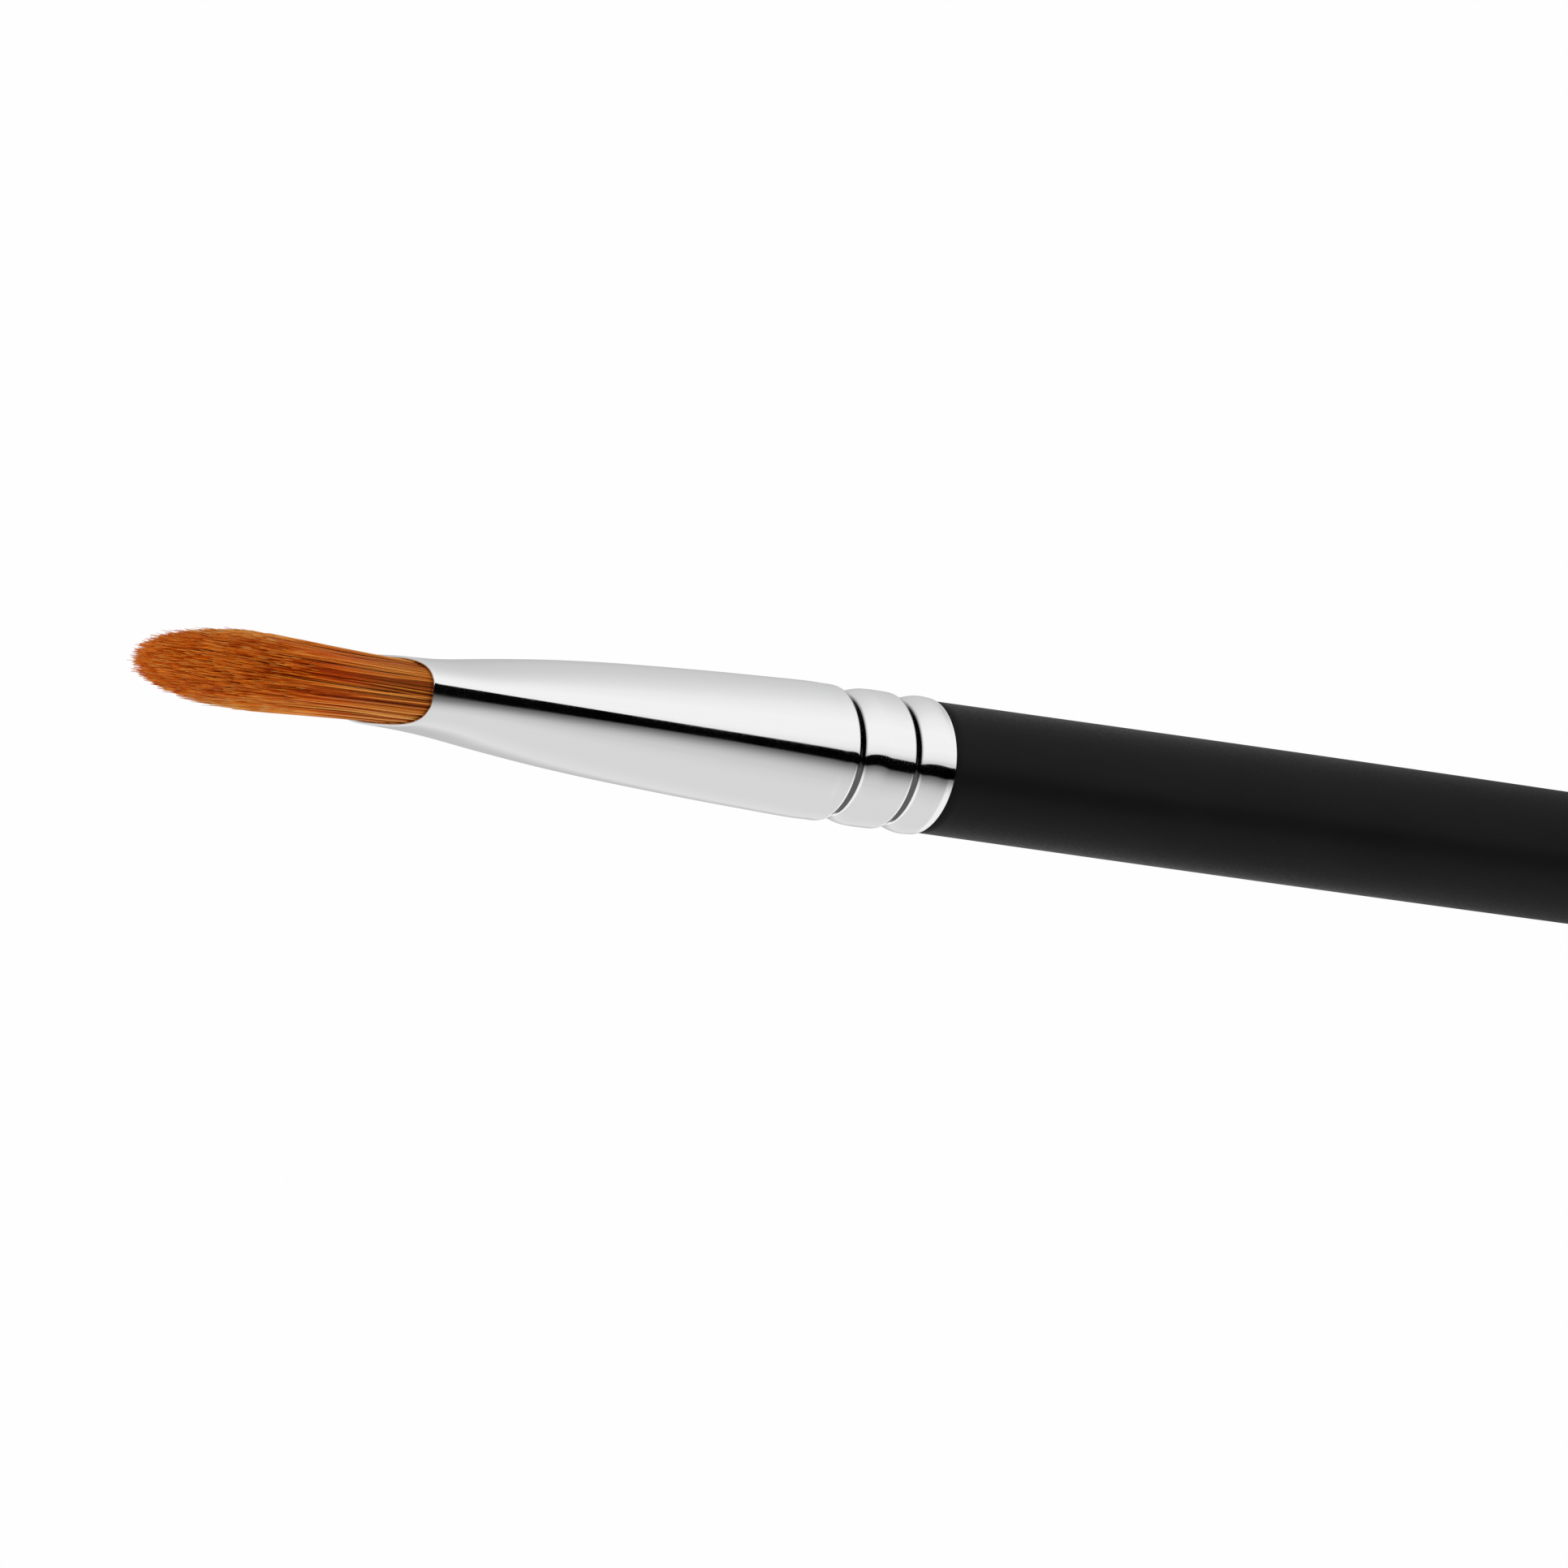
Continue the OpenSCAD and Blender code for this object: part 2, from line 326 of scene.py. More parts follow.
# About how much wider than thick the head is, so that the locks come out round
HEAD_ASPECT = 2.6
# The core's share of the head's section, and how far its end stays inside the dome
CORE_SHARE = 0.86
CORE_SHORT = 1.3
CORE_END_SQUARE = 2.3
# The root bundle's distance from the metal
BUNDLE_GAP = 0.06


def unit_section(rng, count):
    """Points spread evenly over a rounded oblong of half sides 1."""
    found = np.zeros((0, 2))
    while len(found) < count:
        p = rng.uniform(-1, 1, (count, 2))
        inside = (np.abs(p) ** HEAD_SQUARE).sum(1) < 1
        found = np.concatenate([found, p[inside]])
    return found[:count]


def strand_faces(count):
    """The sides and ends of count strands, each of STRAND_STEPS rings."""
    faces = []
    per = STRAND_STEPS * STRAND_SIDES
    for i in range(count):
        base = i * per
        for j in range(STRAND_STEPS - 1):
            low = base + j * STRAND_SIDES
            up = low + STRAND_SIDES
            for k in range(STRAND_SIDES):
                k2 = (k + 1) % STRAND_SIDES
                faces.append((low + k, low + k2, up + k2, up + k))
        last = base + per - STRAND_SIDES
        faces.append((last, last + 1, last + 2))
        faces.append((base + 2, base + 1, base))
    return faces


def make_strands(name, seed, count, out):
    """Tapered hairs from inside the mouth to the domed end, gathered in loose locks.

    out is how far the longest of them may stand out of the dome.
    """
    rng = np.random.default_rng(seed)
    at = unit_section(rng, count)
    locks = unit_section(np.random.default_rng(5), LOCKS)
    apart = at[:, None] * [HEAD_ASPECT, 1] - locks[None] * [HEAD_ASPECT, 1]
    lock = np.argmin((apart**2).sum(2), 1)
    pull = rng.uniform(*DRAWN, (count, 1))
    norm = (np.abs(at) ** HEAD_SQUARE).sum(1) ** (1 / HEAD_SQUARE)
    end = DOME_START + (HAIR_L - DOME_START) * np.clip(1 - norm**2, 0, 1) ** DOME_POWER
    end = end - np.abs(rng.normal(0, END_JITTER, count)) + out * rng.uniform(0, 1, count)
    # the roots fill the mouth's squarer corners
    corner = norm / (np.abs(at) ** MOUTH_SQUARE).sum(1) ** (1 / MOUTH_SQUARE)
    share = np.linspace(0, 1, STRAND_STEPS)
    d = ROOT_START + (end[:, None] - ROOT_START) * share[None] ** 0.9
    grown = np.clip(d / HAIR_L, 0, 1)
    # a lock's hairs draw together a little halfway along
    drawn = pull * np.sin(np.pi * np.clip(d / 13.0, 0, 1))
    toward = locks[lock] - at
    fill = 1 + (corner[:, None] - 1) * (1 - ease(d / 5.0))
    y = (at[:, 0:1] + toward[:, 0:1] * drawn) * head_w(d) * fill
    z = (at[:, 1:2] + toward[:, 1:2] * drawn) * head_t(d) * fill
    for axis in (0, 1):
        phase = rng.uniform(0, 2 * np.pi, (count, 1))
        size = rng.normal(0, WAVE, (count, 1))
        stray = rng.normal(0, STRAY, (count, 1)) * grown**2.5
        wave = size * np.sin(d * 0.5 + phase) * grown + stray
        if axis == 0:
            y = y + wave
        else:
            z = z + 0.7 * wave
    x = MOUTH_X - d
    radius = STRAND_R * rng.uniform(0.75, 1.25, (count, 1))
    radius = radius * np.clip((1.02 - share[None]) / 0.25, 0.15, 1) ** 0.8
    turn = rng.uniform(0, 2 * np.pi, (count, 1, 1))
    a = turn + 2 * np.pi * np.arange(STRAND_SIDES)[None, None] / STRAND_SIDES
    ring = np.stack(
        [
            np.broadcast_to(x[:, :, None], a.shape[:1] + (STRAND_STEPS, STRAND_SIDES)),
            y[:, :, None] + radius[:, :, None] * np.cos(a),
            AXIS_Z + z[:, :, None] + radius[:, :, None] * np.sin(a),
        ],
        3,
    )
    obj = mesh_object(name, ring.reshape(-1, 3), strand_faces(count))
    tone_and_glow = 0.42 * np.random.default_rng(9).uniform(0, 1, len(locks))[lock]
    tone_and_glow = np.clip(tone_and_glow + 0.7 * rng.uniform(0, 1, count) - 0.03, 0, 1)
    # hairs on the flat faces are paler towards their ends: painted light, standing in for light
    # shining through the fringe
    backlit_face = ease((np.abs(at[:, 1]) - 0.6) / 0.3)
    tone_and_glow = tone_and_glow[:, None] + 0.45 * backlit_face[:, None] * ease((share[None] - 0.6) / 0.35)
    # the flat faces' share also turns these hairs' ends golden in the tip colour: painted glow of
    # light through the fringe, beside the random speck
    speck = 0.8 * rng.uniform(0, 1, count) ** 1.5 + 0.5 * backlit_face
    along = np.broadcast_to(share, (count, STRAND_STEPS))
    add_attribute(obj, "tone_and_glow", np.repeat(np.clip(tone_and_glow, 0, 1).reshape(-1), STRAND_SIDES))
    add_attribute(obj, "speck", np.repeat(np.clip(speck, 0, 1), STRAND_STEPS * STRAND_SIDES))
    add_attribute(obj, "along", np.repeat(along.reshape(-1), STRAND_SIDES))
    return obj


def make_hair_core():
    """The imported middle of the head, seen only between hairs."""
    sides = 96
    rings = []
    for d in np.arange(ROOT_START, DOME_START, 0.6):
        w, h = CORE_SHARE * head_w(d), CORE_SHARE * head_t(d)
        rings.append(section(MOUTH_X - d, w, h, HEAD_SQUARE, sides))
    for a in np.radians(np.linspace(0, 84, 12)):
        d = DOME_START + (HAIR_L - CORE_SHORT - DOME_START) * math.sin(a)
        w, h = CORE_SHARE * HAIR_HALF_W * math.cos(a), CORE_SHARE * HAIR_HALF_T * math.cos(a)
        rings.append(section(MOUTH_X - d, w, h, CORE_END_SQUARE, sides))
    for ring in rings:
        angle = np.arctan2(ring[:, 2] - AXIS_Z, ring[:, 1])
        flute = 1 + 0.03 * np.sin(31 * angle) + 0.02 * np.sin(47 * angle + 1)
        ring[:, 1] *= flute
        ring[:, 2] = AXIS_Z + (ring[:, 2] - AXIS_Z) * flute
    return closed_loft("hair_core", rings, sides)


def make_root_bundle():
    """The hair inside the ferrule, from near the mouth to the bound knot."""
    sides = 120
    rings = []
    knot_r, knot_from, knot_in = 2.7, 14.5, 19.0
    for s in np.concatenate([np.arange(0.4, knot_from, 0.5), [knot_from, knot_in - 0.1, knot_in]]):
        t = float(ease(s / knot_from))
        bore_w = float(half_w(s)) - WALL - BUNDLE_GAP
        bore_h = float(half_t(s)) - WALL - BUNDLE_GAP
        w = bore_w * (1 - t) + knot_r * t
        h = min(bore_h * (1 - t) + knot_r * t, bore_h)
        shrink = 0.96 if s == knot_in else 1.0
        ring = section(MOUTH_X + s, w * shrink, h * shrink, float(squareness(s)), sides)
        angle = np.arctan2(ring[:, 2] - AXIS_Z, ring[:, 1])
        flute = 1 - 0.012 - 0.012 * np.sin(40 * angle)
        ring[:, 1] *= flute
        ring[:, 2] = AXIS_Z + (ring[:, 2] - AXIS_Z) * flute
        rings.append(ring)
    return closed_loft("root_bundle", rings[::-1], sides)


# ---- Materials ------------------------------------------------------------


class Nodes:
    """A new material's node tree, with its Principled shader."""

    def __init__(self, name):
        self.material = bpy.data.materials.new(name)
        self.material.use_nodes = True
        self.tree = self.material.node_tree
        self.shader = self.tree.nodes["Principled BSDF"]

    def add(self, kind, **settings):
        """A new node: a setting is an input's value if it names one, and else the node's own."""
        node = self.tree.nodes.new("ShaderNode" + kind)
        for key, value in settings.items():
            if key in node.inputs:
                node.inputs[key].default_value = value
            else:
                setattr(node, key, value)
        return node

    def link(self, source, target):
        self.tree.links.new(source, target)

    def set(self, **sockets):
        for key, value in sockets.items():
            self.shader.inputs[key.replace("_", " ")].default_value = value

    def coordinates(self, scale):
        """Object coordinates stretched by scale."""
        place = self.add("TexCoord")
        mapping = self.add("Mapping")
        mapping.inputs["Scale"].default_value = scale
        self.link(place.outputs["Object"], mapping.inputs["Vector"])
        return mapping.outputs["Vector"]

    def noise(self, vector, scale, detail=3.0, rough=0.5):
        node = self.add("TexNoise", Scale=scale, Detail=detail, Roughness=rough)
        self.link(vector, node.inputs["Vector"])
        return node.outputs["Fac"]

    def ramp(self, source, stops):
        node = self.add("ValToRGB")
        elements = node.color_ramp.elements
        while len(elements) < len(stops):
            elements.new(0.5)
        for element, (where, colour) in zip(elements, stops):
            element.position = where
            element.color = (*colour, 1)
        self.link(source, node.inputs["Fac"])
        return node.outputs["Color"]

    def spread(self, source, low, high, low_in=0.0, high_in=1.0):
        node = self.add("MapRange")
        node.inputs["From Min"].default_value = low_in
        node.inputs["From Max"].default_value = high_in
        node.inputs["To Min"].default_value = low
        node.inputs["To Max"].default_value = high
        self.link(source, node.inputs["Value"])
        return node.outputs["Result"]

    def bump(self, height, strength, distance_mm):
        node = self.add("Bump", Strength=strength, Distance=distance_mm * MM)
        self.link(height, node.inputs["Height"])
        self.link(node.outputs["Normal"], self.shader.inputs["Normal"])


def metal_material():
    """Bright nickel plate with faint polishing lines round the tube."""
    n = Nodes("nickel_plate")
    n.set(Base_Color=(0.88, 0.88, 0.885, 1), Metallic=1.0)
    fine = n.noise(n.coordinates((9000, 400, 400)), 1.0, 4.0, 0.6)
    cloud = n.noise(n.coordinates((300, 300, 300)), 1.0, 3.0)
    both = n.add("Math", operation="ADD")
    n.link(fine, both.inputs[0])
    n.link(cloud, both.inputs[1])
    n.link(n.spread(both.outputs[0], 0.05, 0.12, 0.6, 1.4), n.shader.inputs["Roughness"])
    n.bump(fine, 0.04, 0.002)
    return n.material


def lacquer_material():
    """Satin black lacquer with a fine, slightly uneven surface."""
    n = Nodes("satin_black")
    n.set(Specular_IOR_Level=0.10)
    speck = n.noise(n.coordinates((6000, 6000, 6000)), 1.0, 4.0, 0.65)
    cloud = n.noise(n.coordinates((90, 260, 260)), 1.0, 3.0)
    stops = ((0.3, (0.0050, 0.0050, 0.0051)), (0.7, (0.0075, 0.0072, 0.0072)))
    n.link(n.ramp(cloud, stops), n.shader.inputs["Base Color"])
    n.link(n.spread(speck, 0.36, 0.52, 0.3, 0.7), n.shader.inputs["Roughness"])
    n.bump(speck, 0.15, 0.01)
    return n.material


def hair_material():
    """Red sable: dark to golden from hair to hair, redder above and pale at the very tips; on the
    flat faces the paler, golden ends are painted light shining through the fringe.
    """
    n = Nodes("red_sable")
    n.set(Roughness=0.4, Specular_IOR_Level=0.35, Specular_Tint=(1.0, 0.45, 0.08, 1))
    tone_and_glow = n.add("Attribute", attribute_name="tone_and_glow").outputs["Fac"]
    speck = n.add("Attribute", attribute_name="speck").outputs["Fac"]
    along = n.add("Attribute", attribute_name="along").outputs["Fac"]
    shaft = n.ramp(
        tone_and_glow,
        (
            (0.0, (0.12, 0.017, 0.001)),
            (0.25, (0.34, 0.063, 0.009)),
            (0.55, (0.62, 0.172, 0.020)),
            (0.8, (0.88, 0.34, 0.055)),
            (1.0, (0.98, 0.58, 0.18)),
        ),
    )
    upper = n.ramp(
        tone_and_glow,
        (
            (0.0, (0.29, 0.014, 0.0003)),
            (0.5, (0.70, 0.092, 0.002)),
            (1.0, (1.0, 0.40, 0.055)),
        ),
    )
    tip = n.ramp(
        speck,
        (
            (0.0, (0.66, 0.085, 0.001)),
            (0.4, (1.0, 0.25, 0.010)),
            (0.8, (1.0, 0.47, 0.09)),
            (1.0, (1.0, 0.65, 0.22)),
        ),
    )
    change = n.add("Mix", data_type="RGBA")
    n.link(n.spread(along, 0.0, 1.0, 0.45, 0.85), change.inputs[0])
    n.link(shaft, change.inputs[6])
    n.link(upper, change.inputs[7])
    mix = n.add("Mix", data_type="RGBA")
    n.link(n.spread(along, 0.0, 1.0, 0.94, 0.97), mix.inputs[0])
    n.link(change.outputs[2], mix.inputs[6])
    n.link(tip, mix.inputs[7])
    n.link(mix.outputs[2], n.shader.inputs["Base Color"])
    return n.material


def packed_hair_material():
    """The close-packed hair behind the outer hairs, coloured darker than the sable: painted shade
    for the gaps between hairs, with streaks along it.
    """
    n = Nodes("packed_hair_painted_shade")
    n.set(Specular_IOR_Level=0.2, Specular_Tint=(1.0, 0.45, 0.08, 1))
    streak = n.noise(n.coordinates((150, 5000, 5000)), 1.0, 3.0)
    stops = ((0.3, (0.10, 0.016, 0.001)), (0.55, (0.32, 0.06, 0.004)), (0.75, (0.5, 0.13, 0.01)))
    n.link(n.ramp(streak, stops), n.shader.inputs["Base Color"])
    n.link(n.spread(streak, 0.45, 0.65), n.shader.inputs["Roughness"])
    n.bump(streak, 0.6, 0.05)
    return n.material


def wood_material():
    """Pale turned wood with its grain along the handle."""
    n = Nodes("turned_wood")
    grain = n.noise(n.coordinates((60, 900, 900)), 1.0, 5.0, 0.6)
    stops = ((0.3, (0.42, 0.25, 0.11)), (0.5, (0.58, 0.38, 0.19)), (0.7, (0.66, 0.47, 0.27)))
    n.link(n.ramp(grain, stops), n.shader.inputs["Base Color"])
    n.link(n.spread(grain, 0.45, 0.65), n.shader.inputs["Roughness"])
    n.bump(grain, 0.3, 0.05)
    return n.material


def glue_material(name, dark, light):
    """Set glue or resin, cloudy between two colours."""
    n = Nodes(name)
    cloud = n.noise(n.coordinates((700, 700, 700)), 1.0, 4.0)
    n.link(n.ramp(cloud, ((0.3, dark), (0.7, light))), n.shader.inputs["Base Color"])
    n.link(n.spread(cloud, 0.15, 0.35), n.shader.inputs["Roughness"])
    n.bump(cloud, 0.2, 0.05)
    return n.material


def thread_material():
    """Pale waxed thread with its twist."""
    n = Nodes("waxed_thread")
    twist = n.add("TexWave", Scale=1.0, Distortion=1.5)
    n.link(n.coordinates((2500, 3500, 3500)), twist.inputs["Vector"])
    stops = ((0.2, (0.55, 0.50, 0.38)), (0.8, (0.80, 0.76, 0.64)))
    n.link(n.ramp(twist.outputs["Fac"], stops), n.shader.inputs["Base Color"])
    n.link(n.spread(twist.outputs["Fac"], 0.6, 0.85), n.shader.inputs["Roughness"])
    n.bump(twist.outputs["Fac"], 0.5, 0.03)
    return n.material


def paint(obj, material):
    obj.data.materials.clear()
    obj.data.materials.append(material)


# ---- The pieces -----------------------------------------------------------

ferrule = make_ferrule()
paint(ferrule, metal_material())
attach(ferrule, "brush")
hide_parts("ferrule")

handle = make_handle()
paint(handle, lacquer_material())
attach(handle, "brush")
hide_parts("handle_lacquer")

roots = make_root_bundle()
# the packed hair is coloured darker than the sable: painted shade, for the roots and for the core
# between the hairs
packed = packed_hair_material()
paint(roots, packed)
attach(roots, "brush")
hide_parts("hair_roots")

core = make_hair_core()
# the core's dark colour is painted shade in the gaps between the hairs
paint(core, packed)
sable = hair_material()
tuft = [core]
for number, out in enumerate((0.0, 0.2, 0.45)):
    strands = make_strands("hair_strands_" + "abc"[number], 11 + number, STRANDS, out)
    paint(strands, sable)
    tuft.append(strands)
for piece in tuft:
    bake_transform(piece)
    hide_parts("hair_tuft")

inside = {
    "handle_core": wood_material(),
    "tenon_glue": glue_material("wood_glue", (0.62, 0.50, 0.26), (0.80, 0.68, 0.42)),
    "root_glue": glue_material("amber_resin", (0.34, 0.17, 0.03), (0.55, 0.31, 0.08)),
    "binding_thread": thread_material(),
}
for node, material in inside.items():
    paint(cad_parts[node], material)

# ---- Studio ---------------------------------------------------------------

scene = bpy.context.scene
scene.view_settings.view_transform = "Standard"
scene.view_settings.look = "None"

world = bpy.data.worlds.new("studio")
scene.world = world
world.use_nodes = True
world.node_tree.nodes["Background"].inputs["Color"].default_value = (0.02, 0.02, 0.02, 1)

# Angle about the brush's axis, 0 at the camera's side and 90 up, and the tent's brightness there
TENT = (
    (-180, 0.50),
    (-165, 0.58),
    (-150, 0.80),
    (-120, 0.76),
    (-70, 0.76),
    (-45, 0.70),
    (5, 0.69),
    (12, 0.92),
    (25, 1.0),
    (55, 1.01),
    (80, 0.93),
    (100, 0.81),
    (125, 0.70),
    (150, 0.63),
    (165, 0.55),
    (180, 0.50),
)
TENT_R = 400.0
TENT_FROM = -900.0
MIDDLE_X = -40.0
# How far towards the tail the tent reaches: the same angle without its sign, and degrees from
# straight across. REACH is for the upper side, where the light fades and the room beyond is
# dark. WHITE_BELOW is for the lower side, where the light ends in a white band, and
# GREY_BELOW is the light beyond that band.
REACH = ((0, 60), (73, 56), (107, 51), (137, 47), (160, 44), (180, 42))
WHITE_BELOW = ((0, 57), (73, 52), (107, 47), (137, 41.5), (160, 41), (180, 41))
GREY_BELOW = 0.12
# Degrees that the fade and the white band cover, unless they would start before FULL_TO
FADE_ABOVE = 14.0
BAND_BELOW = 15.0
FULL_TO = 37.0
TAIL_END = 80

# The black flag, which the metal reflects as a dark line, stands on the camera's side: x in mm,
# and the angles of its lower and upper edges
FLAG = (
    (-90, 0.8, 14.5),
    (-69.2, 0.8, 14.5),
    (-65.8, 0.2, 14.5),
    (-61.6, -0.3, 12.3),
    (-57.8, -1.1, 11.0),
    (-54.2, -1.9, 10.1),
    (-50.6, -3.3, 9.1),
    (-47.0, -4.5, 7.9),
    (-43.4, -6.6, 6.6),
    (-40.7, -7.9, 5.3),
    (-37.4, -11.4, 3.0),
    (-33.7, -13.5, 1.4),
    (-28, -14.5, 0.8),
    (110, -14.5, 0.8),
)
FLAG_R = 9.0
# Its soft lower border: degrees below the edge, and how much it still hides
FLAG_BORDER = ((1.6, 0.83), (6.2, 0.64), (11, 0.41), (15, 0.25), (19, 0.145), (23, 0.06), (33, 0))


def emission_material(name, strength):
    """A plain glowing sheet, and the node tree to change its brightness with."""
    n = Nodes(name)
    n.tree.nodes.remove(n.shader)
    glow = n.add("Emission", Strength=strength)
    out = n.tree.nodes["Material Output"]
    n.link(glow.outputs[0], out.inputs["Surface"])
    return n, glow


def tent_rows(turn):
    """(x, share of TENT's light, white light) along the tent at one angle."""
    above = turn > -5
    reach = float(np.interp(abs(turn), *zip(*(REACH if above else WHITE_BELOW))))
    start = max(reach - (FADE_ABOVE if above else BAND_BELOW), FULL_TO)
    if above:
        ends = ((start, 1, 0), (reach, 0.1, 0), (reach + 1, 0, 0))
        ends += ((TAIL_END - 1, 0, 0), (TAIL_END, 0, 0))
    else:
        ends = ((start, 1, 0), (start + 1, 0, 1), (reach, 0, 1))
        ends += ((reach + 1, 0, GREY_BELOW), (TAIL_END, 0, GREY_BELOW))
    rows = [(TENT_FROM + 110.0 * i, 1, 0) for i in range(9)]
    for degrees, own, added in ends:
        rows.append((MIDDLE_X + TENT_R * math.tan(math.radians(degrees)), own, added))
    return rows


def make_tent():
    """A glowing tube round the brush, whose brightness changes round it and towards the tail."""
    sides = 128
    ring = section(0, TENT_R, TENT_R, 2, sides)
    turns = np.degrees(np.arctan2(ring[:, 2] - AXIS_Z, -ring[:, 1]))
    rows = np.array([tent_rows(turn) for turn in turns])
    points = np.repeat(ring[None], rows.shape[1], 0)
    points[:, :, 0] = rows[:, :, 0].T
    faces = skin_faces(rows.shape[1], sides, False)
    obj = mesh_object("light_tent", points.reshape(-1, 3), faces)
    add_attribute(obj, "own", rows[:, :, 1].T.reshape(-1))
    add_attribute(obj, "added", rows[:, :, 2].T.reshape(-1))
    n, glow = emission_material("tent_light", 1.0)
    at = n.add("NewGeometry").outputs["Position"]
    parts = n.add("SeparateXYZ")
    n.link(at, parts.inputs[0])
    height = n.add("Math", operation="SUBTRACT")
    n.link(parts.outputs["Z"], height.inputs[0])
    height.inputs[1].default_value = AXIS_Z * MM
    nearer = n.add("Math", operation="MULTIPLY")
    n.link(parts.outputs["Y"], nearer.inputs[0])
    nearer.inputs[1].default_value = -1.0
    turn = n.add("Math", operation="ARCTAN2")
    n.link(height.outputs[0], turn.inputs[0])
    n.link(nearer.outputs[0], turn.inputs[1])
    share = n.spread(turn.outputs[0], 0.0, 1.0, -math.pi, math.pi)
    stops = [((a + 180) / 360, (b, b, b)) for a, b in TENT]
    n.link(n.ramp(share, stops), glow.inputs["Color"])
    n.link(n.add("Attribute", attribute_name="own").outputs["Fac"], glow.inputs["Strength"])
    extra = n.add("Emission", Color=(1, 1, 1, 1))
    n.link(n.add("Attribute", attribute_name="added").outputs["Fac"], extra.inputs["Strength"])
    both = n.add("AddShader")
    n.link(glow.outputs[0], both.inputs[0])
    n.link(extra.outputs[0], both.inputs[1])
    n.link(both.outputs[0], n.tree.nodes["Material Output"].inputs["Surface"])
    paint(obj, n.material)
    obj.visible_camera = False
    obj.visible_shadow = False
    return obj


def make_flag():
    """A black card whose reflection is the dark line along the metal."""
    points, hides = [], []
    for x in np.arange(FLAG[0][0], FLAG[-1][0], 0.5):
        low = np.interp(x, [f[0] for f in FLAG], [f[1] for f in FLAG])
        high = np.interp(x, [f[0] for f in FLAG], [f[2] for f in FLAG])
        row = [(a, 1.0) for a in np.linspace(high, low, 6)]
        row += [(low - below, hide) for below, hide in FLAG_BORDER]
        for a, hide in row:
            y, z = -FLAG_R * math.cos(math.radians(a)), FLAG_R * math.sin(math.radians(a))
            points.append((x, y, AXIS_Z + z))
            hides.append(hide)
    count = len(row)
    faces = []
    for i in range(len(points) // count - 1):
        for k in range(i * count, i * count + count - 1):
            faces.append((k, k + 1, k + 1 + count, k + count))
    obj = mesh_object("black_flag", points, faces)
    add_attribute(obj, "hide", hides)
    n, glow = emission_material("flag_black", 0.0)
    clear = n.add("BsdfTransparent")
    mix = n.add("MixShader")
    n.link(n.add("Attribute", attribute_name="hide").outputs["Fac"], mix.inputs[0])
    n.link(clear.outputs[0], mix.inputs[1])
    n.link(glow.outputs[0], mix.inputs[2])
    n.link(mix.outputs[0], n.tree.nodes["Material Output"].inputs["Surface"])
    paint(obj, n.material)
    obj.visible_camera = False
    obj.visible_diffuse = False
    obj.visible_shadow = False
    return obj


def make_backdrop():
    """A white surround that only the camera sees."""
    bpy.ops.mesh.primitive_ico_sphere_add(subdivisions=4, radius=4.0)
    obj = bpy.context.active_object
    obj.name = "backdrop"
    n, _ = emission_material("backdrop_white", 0.99)
    paint(obj, n.material)
    obj.visible_glossy = False
    obj.visible_diffuse = False
    obj.visible_shadow = False
    return obj


# The floor fades out over this share of its radius, and under the ferrule between these two
# places along the brush, so the bent head has room below it
FLOOR_R = 330.0
FLOOR_FADE = (0.5, 0.98)
FLOOR_ENDS = (-70.0, -50.0)


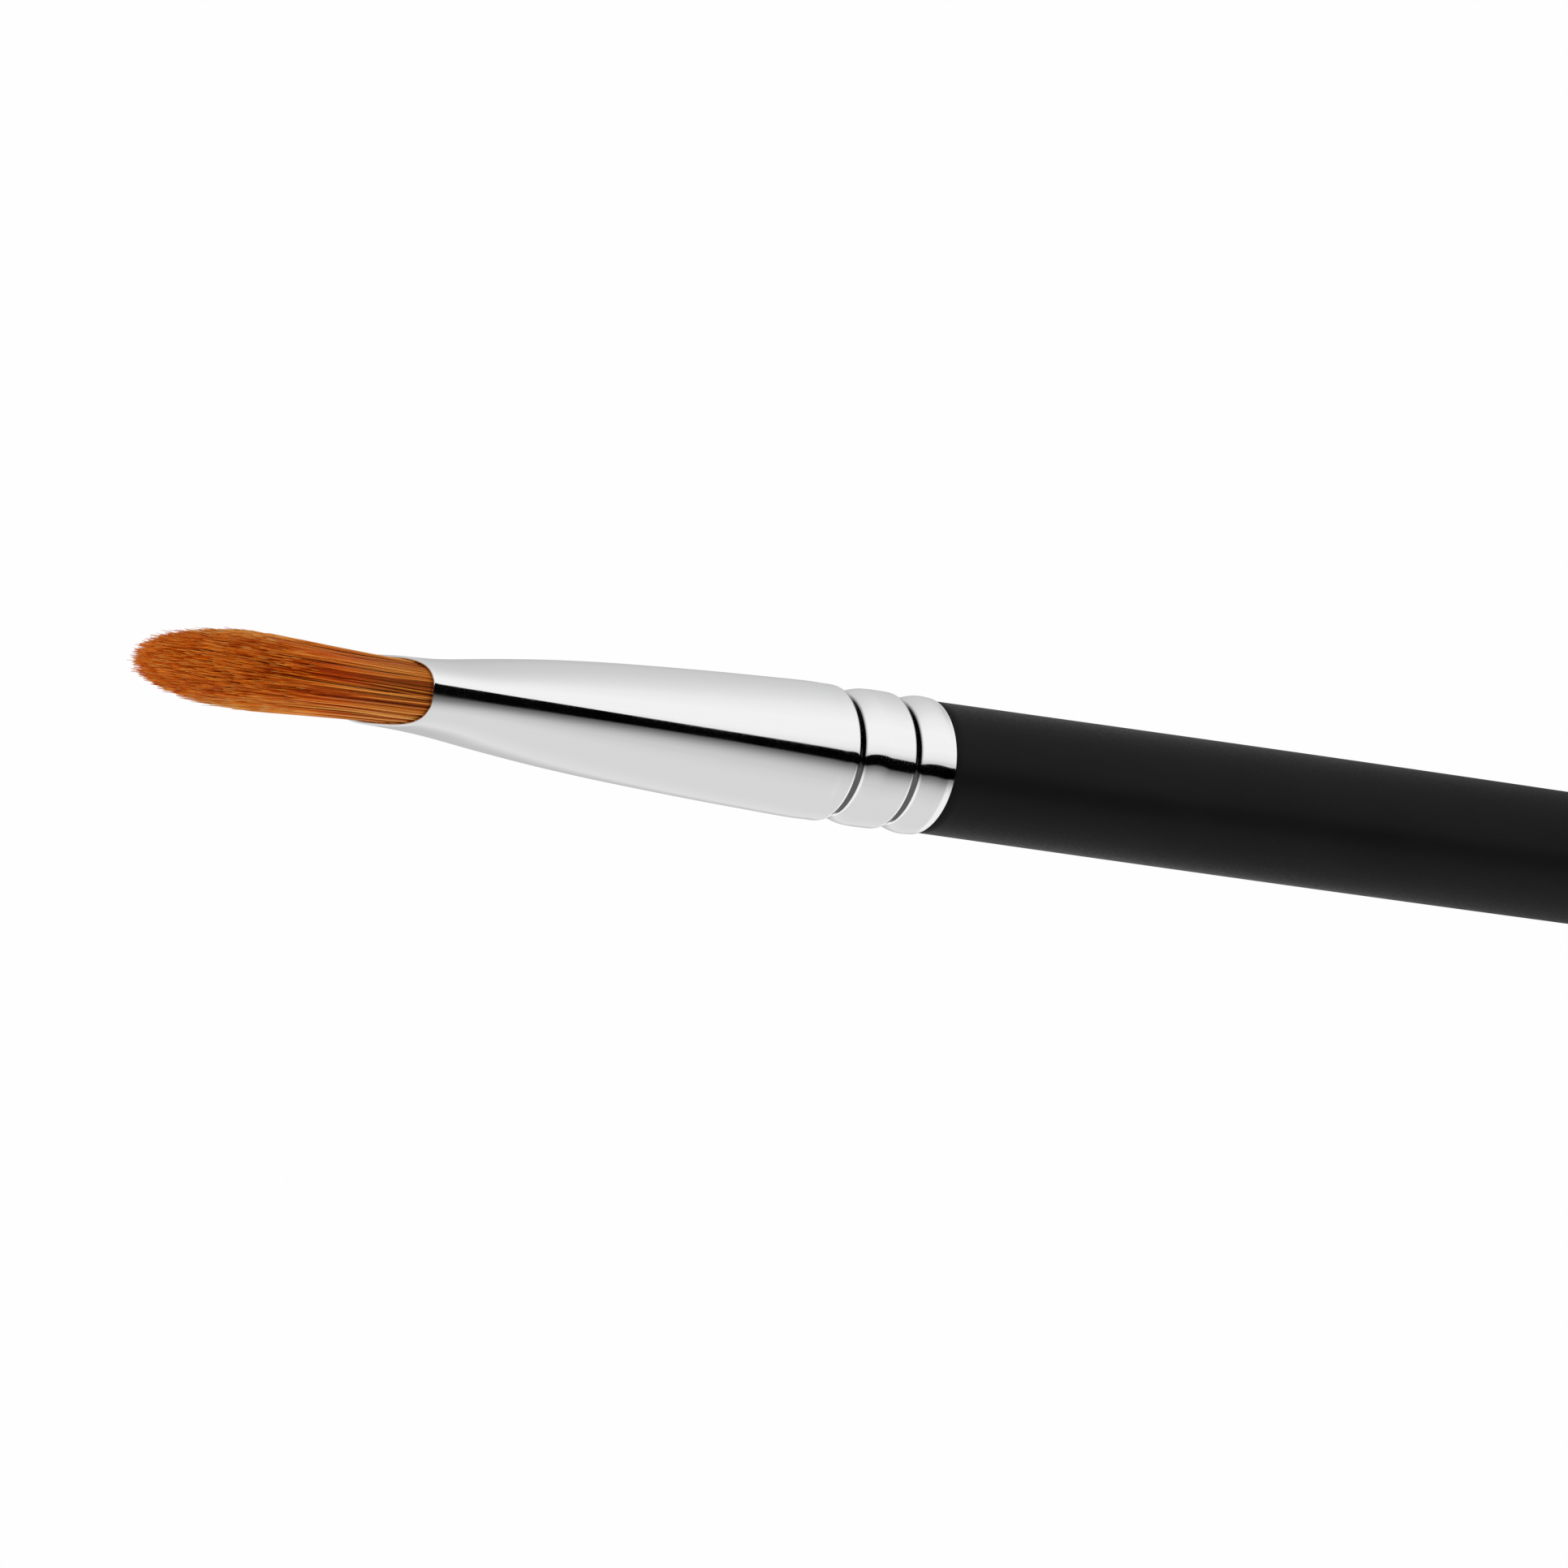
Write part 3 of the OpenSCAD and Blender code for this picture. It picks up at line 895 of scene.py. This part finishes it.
def make_floor(name, seen):
    """A pale round sheet under the brush: it glows a little, so that shadows on it stay soft.

    The seen floor has the fade under the ferrule. The other one only lights the brush.
    """
    bpy.ops.mesh.primitive_circle_add(vertices=128, radius=FLOOR_R * MM, fill_type="NGON")
    obj = bpy.context.active_object
    obj.name = name
    n, glow = emission_material(name + "_white", 0.60)
    diffuse = n.add("BsdfDiffuse", Color=(0.48, 0.48, 0.48, 1))
    lit = n.add("AddShader")
    n.link(glow.outputs[0], lit.inputs[0])
    n.link(diffuse.outputs[0], lit.inputs[1])
    clear = n.add("BsdfTransparent")
    at = n.add("NewGeometry")
    reach = n.add("VectorMath", operation="LENGTH")
    n.link(at.outputs["Position"], reach.inputs[0])
    fade_from, fade_to = FLOOR_FADE
    edge = n.spread(
        reach.outputs["Value"], 0.0, 1.0, FLOOR_R * fade_from * MM, FLOOR_R * fade_to * MM
    )
    if seen:
        parts = n.add("SeparateXYZ")
        n.link(at.outputs["Position"], parts.inputs[0])
        head = n.spread(parts.outputs["X"], 1.0, 0.0, FLOOR_ENDS[0] * MM, FLOOR_ENDS[1] * MM)
        ends = n.add("Math", operation="MAXIMUM")
        n.link(edge, ends.inputs[0])
        n.link(head, ends.inputs[1])
        edge = ends.outputs[0]
    most = n.add("Math", operation="MAXIMUM")
    n.link(edge, most.inputs[0])
    n.link(at.outputs["Backfacing"], most.inputs[1])
    mix = n.add("MixShader")
    n.link(most.outputs[0], mix.inputs[0])
    n.link(lit.outputs[0], mix.inputs[1])
    n.link(clear.outputs[0], mix.inputs[2])
    n.link(mix.outputs[0], n.tree.nodes["Material Output"].inputs["Surface"])
    paint(obj, n.material)
    obj.visible_glossy = False
    obj.visible_camera = seen
    obj.visible_diffuse = not seen
    obj.visible_shadow = not seen
    return obj


make_tent()
make_flag()
make_backdrop()
make_floor("floor", True)
make_floor("floor_light", False)

# ---- Camera ---------------------------------------------------------------

CAMERA_SWING = 33.0
CAMERA_RISE = -1.68
CAMERA_ROLL = 6.78
CAMERA_DISTANCE = 428.6
CAMERA_LENS = 167.7
AIM = (-41.64, 4.25, 2.10)

swing, rise = math.radians(CAMERA_SWING), math.radians(CAMERA_RISE)
forward = Vector(
    (math.sin(swing) * math.cos(rise), math.cos(swing) * math.cos(rise), -math.sin(rise))
)
camera_data = bpy.data.cameras.new("camera")
camera_data.lens = CAMERA_LENS
camera_data.sensor_width = 36.0
camera_data.clip_start = 0.01
camera = bpy.data.objects.new("camera", camera_data)
scene.collection.objects.link(camera)
camera.location = (Vector(AIM) - forward * CAMERA_DISTANCE) * MM
level = forward.to_track_quat("-Z", "Y")
roll = Matrix.Rotation(math.radians(CAMERA_ROLL), 3, "Z").to_quaternion()
camera.rotation_mode = "QUATERNION"
camera.rotation_quaternion = level @ roll
scene.camera = camera
